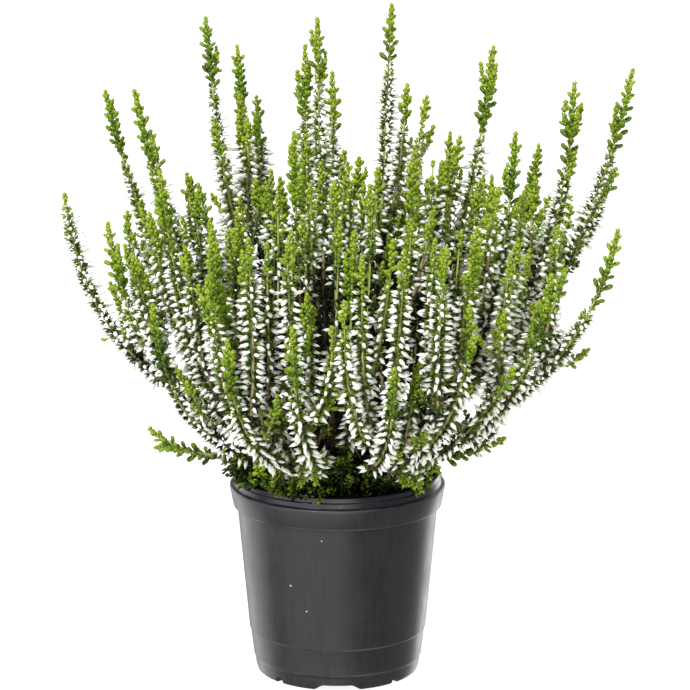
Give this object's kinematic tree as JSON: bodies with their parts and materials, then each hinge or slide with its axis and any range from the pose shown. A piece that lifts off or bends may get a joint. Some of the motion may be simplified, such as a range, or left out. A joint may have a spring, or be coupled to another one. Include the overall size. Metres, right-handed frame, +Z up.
{
  "type": "potted heather",
  "caption": "Bushy flowering heather with upright green spikes and white buds, growing in a round black plastic nursery pot.",
  "frame": {"origin": "centre of the pot's flat underside, on the pot's axis, on the surface that it stands on", "axes": "+Z up along the pot's axis, -Y towards the viewer of the picture, +X to the right of the picture"},
  "size_m": [0.2982, 0.2452, 0.343],
  "materials": {
    "pot": "satin",
    "peat": "rough",
    "wood": "rough",
    "foliage": "matte",
    "buds": "matte"
  },
  "bodies": {
    "root": {"pot": "pot", "soil": "peat", "trunk": "wood", "bough_01": "wood", "foliage_01": "foliage", "bough_02": "wood", "foliage_02": "foliage", "bough_03": "wood", "foliage_03": "foliage", "bough_04": "wood", "foliage_04": "foliage", "bough_05": "wood", "foliage_05": "foliage", "bough_06": "wood", "foliage_06": "foliage", "bough_07": "wood", "foliage_07": "foliage", "bough_08": "wood", "foliage_08": "foliage", "bough_09": "wood", "foliage_09": "foliage", "bough_10": "wood", "foliage_10": "foliage", "bough_11": "wood", "foliage_11": "foliage", "bough_12": "wood", "foliage_12": "foliage", "bough_13": "wood", "foliage_13": "foliage", "bough_14": "wood", "foliage_14": "foliage", "bough_15": "wood", "foliage_15": "foliage", "bough_16": "wood", "foliage_16": "foliage", "foliage_17": "foliage", "foliage_18": "foliage", "foliage_19": "foliage", "foliage_20": "foliage", "foliage_21": "foliage", "foliage_22": "foliage", "foliage_23": "foliage", "foliage_24": "foliage", "foliage_25": "foliage", "foliage_26": "foliage", "foliage_27": "foliage", "foliage_28": "foliage", "foliage_29": "foliage", "foliage_30": "foliage", "foliage_31": "foliage", "foliage_32": "foliage", "foliage_33": "foliage", "foliage_34": "foliage", "foliage_35": "foliage", "foliage_36": "foliage", "foliage_37": "foliage", "foliage_38": "foliage", "foliage_39": "foliage", "foliage_40": "foliage", "foliage_41": "foliage"}
  },
  "joints": []
}
